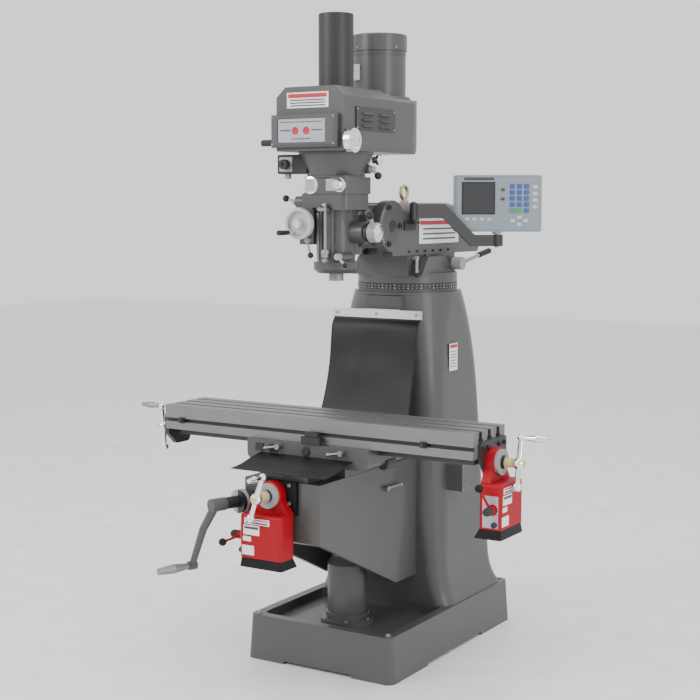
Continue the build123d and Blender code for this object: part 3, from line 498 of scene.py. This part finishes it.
def make_ram_details():
    bolts = Kit()
    for side in (-1, 1):
        for y, z in ((-168, 1608), (-168, 1480), (-92, 1543)):
            bolts.bolt((side * 110, y, z), X * side, 10, 8, socket=True)
        bolts.lathe((side * 109.5, NOD_Y, NOD_Z), X * side,
                    [(0, 22), (1.5, 22), (2.5, 20), (2.5, 12), (1.8, 11)])
    for y in (-20, 40, 100, 160, 220, 280):
        bolts.bolt((110, y, 1449), X, 4.5, 5)
    bolts.make("ram_bolts", "ram", finish("black_metal"), "black_metal")
    plate = Kit()
    plate.block(110, 112, 53, 362, 1475, 1567, 0.8)
    plate.make("ram_plate", "ram", finish("white_label"), "readout_grey")
    bands = Kit()
    bands.block(111.5, 112.6, 60, 355, 1544, 1559, 0.3)
    bands.make("ram_plate_band", "ram", finish("label_red"), "red_paint")
    bands = Kit()
    for z in (1490, 1508, 1526):
        bands.block(111.5, 112.6, 80, 335, z, z + 6, 0.3)
    bands.make("ram_plate_marks", "ram", finish("label_ink"), "black_plastic")
    arc = Kit()
    for i in range(19):
        a = math.radians(-45 + 5 * i)
        y, z = NOD_Y - 82 * math.cos(a), NOD_Z + 82 * math.sin(a)
        inner = 76 if i % 2 == 0 else 79
        end = (110.2, NOD_Y - inner * math.cos(a), NOD_Z + inner * math.sin(a))
        arc.rod((110.2, y, z), end, 0.7, segments=6)
    arc.make("nod_scale", "ram", finish("white_label"), "readout_grey")


def make_readout():
    at = Matrix.Translation(READOUT_AT) @ Matrix.Rotation(math.radians(READOUT_TURN), 4, "Z")
    front = -20.0

    def part(name, look, slot, shapes, depth=2.5, bevel=1.2):
        kit = Kit(at)
        for x0, x1, z0, z1 in shapes:
            kit.block(x0, x1, front - depth, front + 1, z0, z1, bevel)
        kit.make(name, "dro_display", finish(look), slot)

    part("readout_face", "readout", "readout_grey", [(-154, 154, -98, 98)], 3, 2.5)
    part("readout_frame", "black_plastic", "black_plastic", [(-134, -8, -42, 80)], 4.2, 2)
    part("readout_screen", "screen", "black_plastic", [(-127, -15, -34, 73)], 5, 0.6)
    part("readout_strip", "label_ink", "black_plastic", [(-124, -14, 84, 94)], 3.6, 0.5)
    part("readout_soft_keys", "key_grey", "readout_grey",
         [(x, x + 15, -62, -52) for x in (-120, -93, -66, -39)], 5.5, 1.2)
    blue = [(x - 9, x + 9, z - 8, z + 8) for z in (62, 40, 18, -4) for x in (52, 78, 104)]
    part("readout_number_keys", "key_blue", "black_plastic", blue + [(95, 113, -34, -18)], 6, 1.5)
    part("readout_enter_key", "key_green", "black_plastic", [(43, 87, -34, -18)], 6, 1.5)
    part("readout_oval_keys", "label_ink", "black_plastic", [(8, 28, 42, 58), (8, 28, 8, 24)], 5.5, 4)
    arrows = [(69, 87, -56, -44), (69, 87, -82, -70), (46, 64, -69, -57), (92, 110, -69, -57)]
    part("readout_arrow_keys", "key_grey", "readout_grey", arrows, 5.5, 1.5)
    side_keys = [(126, 144, z, z + 12) for z in (54, 30, 6, -18)]
    part("readout_side_keys", "key_grey", "readout_grey", side_keys, 5, 1.5)
    back = Kit(at)
    for i in range(9):
        back.block(-90, 90, 19.5, 21.5, -40 + 10 * i, -36 + 10 * i, 0.6)
    back.make("readout_vents", "dro_display", finish("black_plastic"), "black_plastic")
    pads = Kit()
    for x, y in ((128, -20), (336, 235)):
        top = 1624 if x == 128 else 1466
        face = Z if x == 128 else -Z
        pads.bolt((x, y, top), face, 8, 5)
    pads.make("readout_arm_bolts", "dro_arm", finish("satin"), "satin_steel")


# Head -----------------------------------------------------------------------------------
def make_belt_housing_details():
    plate = Kit()
    plate.block(-91, 74, -502.5, -499.5, 1938, 1990, 0.8)
    plate.make("front_badge", "head", finish("white_label"), "readout_grey")
    red = Kit()
    red.block(-85, 68, -503.4, -502, 1972, 1985, 0.3)
    red.make("front_badge_band", "head", finish("label_red"), "red_paint")
    ink = Kit()
    for z in (1944, 1953, 1962):
        ink.block(-78, 61, -503.4, -502, z, z + 4, 0.3)
    ink.make("front_badge_marks", "head", finish("label_ink"), "black_plastic")
    cover = Kit()
    cover.block(134, 139, -431, -172, 1866, 1943, 1.5)
    cover.block(-139, -134, -431, -172, 1866, 1943, 1.5)
    for z in (1880, 1900, 1920):
        for y in (-395, -280):
            for side in (-1, 1):
                cover.hood(side * 138.5, y, z, 72, side)
    cover.make("louvre_plates", "head", finish("dark_plate"), "black_metal")
    screws = Kit()
    for side in (-1, 1):
        for y in (-422, -181):
            for z in (1874, 1935):
                screws.screw((side * 139, y, z), X * side, 4)
    for x in (-137, 107):
        for z in (1818, 1907):
            screws.screw((x, -524.5, z), -Y, 4)
    for x in (-110, 110):
        for y in (-470, -200):
            screws.screw((x * 0.75, y, 2009), Z, 5)
    screws.make("housing_screws", "head", finish("satin"), "satin_steel")
    panel = Kit()
    panel.block(-113, 74, -523, -520.5, 1824, 1902, 0.6)
    panel.make("speed_panel_plate", "head", finish("panel_plate"), "readout_grey")
    dial = Kit()
    dial.block(-104, -62, -523.8, -522.5, 1862, 1866, 0.2)
    dial.block(20, 62, -523.8, -522.5, 1862, 1866, 0.2)
    dial.block(-104, 62, -523.8, -522.5, 1890, 1892.5, 0.2)
    dial.block(-60, 18, -523.8, -522.5, 1834, 1837, 0.2)
    dial.make("speed_panel_marks", "head", finish("label_ink"), "black_plastic")
    window = Kit()
    for x in (-44, 0):
        window.lathe((x, -521.5, 1862), -Y, [(0, 13), (2, 13), (3, 11.5), (2.4, 10), (2.4, 2)], 32)
    window.make("speed_windows", "head", finish("label_red"), "red_paint")
    seam = Kit()
    seam.block(-136, 136, -501, -49, 1804, 1807, 0.8)
    seam.make("housing_seam", "head", finish("paint"), "machine_paint")
    seat = Kit()
    seat.lathe((0, SPINDLE_Y, 2007), Z, [(0, 72), (5, 72), (8, 69), (8, 61)])
    seat.make("cover_flange", "head", finish("black_metal"), "black_metal")
    cap = Kit()
    for i in range(4):
        a = math.radians(45 + 90 * i)
        cap.bolt((66 * math.cos(a), SPINDLE_Y + 66 * math.sin(a), 2014), Z, 4, 3)
    cap.make("cover_screws", "head", finish("satin"), "satin_steel")


def make_motor_details():
    rings = Kit()
    rings.lathe((0, MOTOR_Y, 1985), Z, [(0, 112), (9, 112), (12, 109), (12, 96)], 64)
    rings.lathe((0, MOTOR_Y, 2146), Z, [(0, 96.5), (4, 96.5), (4, 94)], 64)
    rings.block(-34, 34, MOTOR_Y + 88, MOTOR_Y + 120, 2040, 2120, 4)
    for i in range(5):
        rings.rod((0, MOTOR_Y, 2218 + 0.1), (0, MOTOR_Y, 2220 - 0.15 * i), 80 - 15 * i, segments=64)
    rings.make("motor_trim", "head", finish("paint"), "machine_paint")
    screws = Kit()
    for i in range(4):
        a = math.radians(45 + 90 * i)
        screws.bolt((104 * math.cos(a), MOTOR_Y + 104 * math.sin(a), 1996), Z, 7, 8, socket=False)
        screws.screw((99 * math.cos(a + 0.4), MOTOR_Y + 99 * math.sin(a + 0.4), 2170),
                     (math.cos(a + 0.4), math.sin(a + 0.4), 0), 4)
    screws.make("motor_bolts", "head", finish("satin"), "satin_steel")
    plate = Kit()
    plate.block(-62, -22, MOTOR_Y - 97, MOTOR_Y - 84, 2056, 2112, 2)
    plate.make("motor_plate", "head", finish("satin"), "satin_steel")


def make_head_details():
    bolts = Kit()
    for sx in (-60, 60):
        for sz in (-48, 48):
            bolts.bolt((sx, -285, NOD_Z + sz), -Y, 11, 14, socket=False)
    for i in range(6):
        a = math.radians(30 + 60 * i)
        bolts.bolt((86 * math.cos(a), SPINDLE_Y + 86 * math.sin(a) * 0.98, 1711), Z, 6, 6)
    for x, y in ((-78, -410), (78, -410), (78, -290)):
        bolts.bolt((x, y, 1654.5), Z, 7, 5)
    bolts.make("head_bolts", "head", finish("satin"), "satin_steel")
    rings = Kit()
    rings.lathe((0, SPINDLE_Y, 1708), Z, [(0, 98), (2, 101), (8, 101), (10, 99)], 64)
    rings.lathe((0, SPINDLE_Y, 1640), Z, [(0, 60), (14, 66)], 48)
    rings.lathe((0, SPINDLE_Y, 1786), Z, [(0, 124), (3, 129), (9, 129)], 64)
    rings.make("head_rings", "head", finish("paint"), "machine_paint")
    bright = Kit()
    bright.lathe((72, -430, 1684), -Y, [(0, 24), (3, 24), (5, 20), (18, 19), (22, 16), (22, 4)], 32)
    bright.lathe((100, -256, 1770), X, [(0, 12), (14, 12), (16, 17), (28, 17), (31, 14)], 28)
    bright.lathe((-46, -428, 1684), -Y, [(0, 30), (2, 30), (3, 28)], 36)
    bright.lathe((-73, -472, 1553), -Y, [(0, 14), (4, 14), (7, 10)], 24)
    bright.make("head_dials", "head", finish("chrome"), "chrome")
    plate = Kit()
    plate.block(18, 58, -431.6, -429.5, 1664, 1704, 0.8)
    plate.block(-64, -28, -431.6, -429.5, 1662, 1706, 0.8)
    plate.make("feed_plates", "head", finish("panel_plate"), "readout_grey")
    box = Kit()
    box.block(-172, -118, -432.5, -429.5, 1730, 1780, 1.2)
    box.lathe((-150, -410, 1722), -Z, [(0, 11), (14, 11), (16, 8)], 20)
    box.make("switch_plate", "head", finish("satin"), "satin_steel")
    scale = Kit()
    scale.block(-30, -20, -416, -413, 1430, 1590, 0.5)
    scale.make("depth_scale", "head", finish("satin"), "satin_steel")
    ticks = Kit()
    for i in range(26):
        ticks.block(-29, -25 if i % 5 else -22, -416.7, -415.6, 1436 + 6 * i, 1436.8 + 6 * i, 0)
    ticks.make("depth_scale_marks", "head", finish("label_ink"), "black_plastic")
    nuts = Kit()
    nuts.lathe((18, -436, 1450), Z, [(0, 14), (2, 15), (9, 15), (11, 14)], 36)
    nuts.lathe((18, -436, 1428), Z, [(0, 10), (6, 10)], 24)
    nuts.make("depth_stop_nuts", "head", finish("satin"), "satin_steel")
    hub = Kit()
    hub.lathe((160, -325, 1523), X, [(0, 30), (3, 30), (5, 26), (5, 9), (9, 8)], 40)
    hub.make("quill_hub_cap", "quill_lever", finish("chrome"), "chrome")
    spring = Kit()
    spring.lathe((-60, -325, 1523), -X, [(0, 44), (30, 44), (34, 40), (34, 10), (40, 9)], 48)
    spring.make("quill_spring_housing", "head", finish("paint"), "machine_paint")


# Column, knee and saddle ----------------------------------------------------------------
def make_base_details():
    bolts = Kit()
    for x in (-265, 265):
        bolts.lathe((x, -430, 155), Z, [(0, 15), (6, 15), (7, 13), (7, 8), (14, 7)], 28)
    for i in range(6):
        a = math.radians(60 * i)
        bolts.bolt((85 * math.cos(a), -267 + 85 * math.sin(a), 148), Z, 6, 6)
    bolts.make("base_bolts", "base", finish("satin"), "satin_steel")
    label = Kit()
    half = 216.0
    label.block(half - 1, half + 1.5, 96, 158, 1010, 1110, 0.6)
    label.make("column_label", "base", finish("white_label"), "readout_grey")
    marks = Kit()
    marks.block(half + 1.0, half + 2.2, 100, 154, 1094, 1106, 0.2)
    marks.make("column_label_band", "base", finish("label_red"), "red_paint")
    lines = Kit()
    for i in range(6):
        lines.block(half + 1.0, half + 2.2, 104, 150, 1024 + 11 * i, 1027 + 11 * i, 0.2)
    lines.make("column_label_lines", "base", finish("label_ink"), "black_plastic")
    strip = Kit()
    strip.block(-184, 184, -66, -62.6, 1208, 1239, 0.8)
    strip.make("guard_clamp_strip", "base", finish("aluminium"), "aluminium_trim")
    rail = Kit()
    for x in (-166, 0, 166):
        rail.screw((x, -66, 1224), -Y, 6)
    rail.make("guard_rail_screws", "base", finish("satin"), "satin_steel")
    box = Kit()
    for y in (62, 113):
        for z in (583, 667):
            box.screw((294, y, z), X, 4)
    box.make("electric_box_screws", "base", finish("satin"), "satin_steel")


def make_knee_details():
    trim = Kit()
    for x in (-60, 40):
        for z in (640, 700):
            trim.bolt((x, Y_FEED_Y, z), -Y, 6, 5)
    trim.make("knee_front_screws", "knee", finish("satin"), "satin_steel")
    wipers = Kit()
    for side in (-1, 1):
        wipers.block(side * 98 - 16, side * 98 + 16, -40, -28, 700, 737, 2)
    wipers.make("knee_wipers", "knee", finish("rubber"), "black_rubber")
    blocks = Kit()
    for x in (-208, -150):
        blocks.block(x, x + 34, -534, -529.5, 772, 798, 1)
    blocks.lathe((0, -530, 786), -Y, [(0, 16), (4, 16), (6, 13)], 24)
    blocks.make("saddle_wipers", "saddle", finish("black_plastic"), "black_plastic")
    boss = Kit()
    boss.lathe((230, -380, 746), -Y, [(-30, 22), (26, 22), (30, 19)], 32)
    boss.make("saddle_boss", "saddle", finish("black_metal"), "black_metal")


def make_table_details():
    stops = Kit()
    for x in (-560, 430):
        stops.block(x, x + 26, -520, -500.5, 836, 856, 2)
        stops.rod((x + 13, -520, 846), (x + 13, -528, 846), 8)
    stops.make("table_stops", "table", finish("black_metal"), "black_metal")
    bracket = Kit()
    bracket.block(-16, 62, -540, -529.5, 812, 838, 2)
    bracket.block(-4, 50, -536, -522, 838, 852, 2)
    bracket.make("limit_bracket", "saddle", finish("black_metal"), "black_metal")
    plugs = Kit()
    for y in (-461, -397.5, -334):
        for end in (-1, 1):
            plugs.block(end * 623 - 3, end * 623 + 3, y - 7, y + 7, 866, 897, 2)
            plugs.block(end * 623 - 3, end * 623 + 3, y - 13, y + 13, 865, 875, 2)
    plugs.make("slot_plugs", "table", finish("rubber"), "black_rubber")
    bolts = Kit()
    for y in (-455, -420, -340, -300):
        bolts.bolt((629, y, 842), X, 7, 7)
    for y in (-480, -440, -370):
        bolts.bolt((-640, y, 842), -X, 7, 7)
    bolts.make("bracket_bolts", "table", finish("black_metal"), "black_metal")
    # Painted shade: a thin black strip across the mouth of the front stop groove stands in for the shade
    # inside the groove.
    groove_shade = Kit()
    groove_shade.block(-621, 621, -501.2, -499.9, 839.6, 851.4, 0.4)
    groove_shade.make("stop_groove_painted_shade", "table", finish("black_metal"), "black_metal")


def feed_details(tag, at, body):
    """Neck ring, panel, labels and knobs of one power feed; at puts its screw axis along +X.

    Gives back the dial's marks, which belong to the screw."""
    ring = Kit(at)
    ring.lathe((31.5, 0, 0), X, [(-31, 47), (-1, 47), (0, 45), (0.3, 18)], 56)
    ring.make(f"{tag}_feed_ring", body, finish("red"), "red_paint")
    plate = Kit(at)
    plate.block(14, 70, -88, -85.5, -200, -96, 1.0)
    plate.make(f"{tag}_feed_panel", body, finish("panel_plate"), "readout_grey")
    front = Kit(at)
    front.block(77, 79.5, -70, -6, -128, -96, 0.6)
    front.block(77, 79.5, -72, -40, -150, -134, 0.6)
    front.block(77, 79.5, -76, -28, -196, -164, 0.6)
    front.make(f"{tag}_feed_labels", body, finish("white_label"), "readout_grey")
    badge = Kit(at)
    badge.block(77.5, 79.6, -66, 34, -92, -72, 0.6)
    badge.make(f"{tag}_feed_badge", body, finish("white_label"), "readout_grey")
    bar = Kit(at)
    bar.block(79, 80.4, -62, 30, -79, -75, 0.3)
    bar.make(f"{tag}_feed_badge_bar", body, finish("label_red"), "red_paint")
    band = Kit(at)
    band.block(79, 80.3, -66, -10, -108, -100, 0.3)
    band.block(79, 80.3, -60, 28, -89, -84, 0.3)
    band.make(f"{tag}_feed_band", body, finish("label_ink"), "black_plastic")
    knob = Kit(at)
    knob.lathe((50, -108, -140), -Y, [(0, 14), (18, 14), (27, 12), (31, 8)], 32)
    knob.lathe((58, -88, -188), -Y, [(0, 9), (10, 9), (13, 6)], 24)
    knob.make(f"{tag}_feed_knobs", body, finish("black_plastic"), "black_plastic")
    foot = Kit(at)
    for x in (4, 62):
        for y in (-70, 62):
            foot.screw((x + 2, y, -238), -Z, 4)
    foot.make(f"{tag}_feed_foot_screws", body, finish("satin"), "satin_steel")
    dial = Kit(at)
    for i in range(40):
        a = math.radians(9 * i)
        out = Vector((0, math.cos(a), math.sin(a)))
        inner, outer = Vector((34, 0, 0)), Vector((38 if i % 5 else 42, 0, 0))
        dial.rod(inner + out * DIAL_R, outer + out * DIAL_R, 0.5, segments=5)
    return dial


def make_feeds():
    x_at = Matrix.Translation((X_FEED_X, TABLE_Y, TABLE_SCREW_Z))
    y_at = Matrix.Translation((CROSS_X, Y_FEED_Y, CROSS_Z)) @ Matrix.Rotation(math.radians(-90), 4, "Z")
    ink = finish("label_ink")
    feed_details("table", x_at, "table").make("table_dial_marks", "table_screw", ink, "black_plastic")
    feed_details("cross", y_at, "knee").make("cross_dial_marks", "cross_screw", ink, "black_plastic")


make_camera()
make_studio()
dress_cad()
make_guards()
make_turret_details()
make_ram_details()
make_readout()
make_belt_housing_details()
make_motor_details()
make_head_details()
make_base_details()
make_knee_details()
make_table_details()
make_feeds()
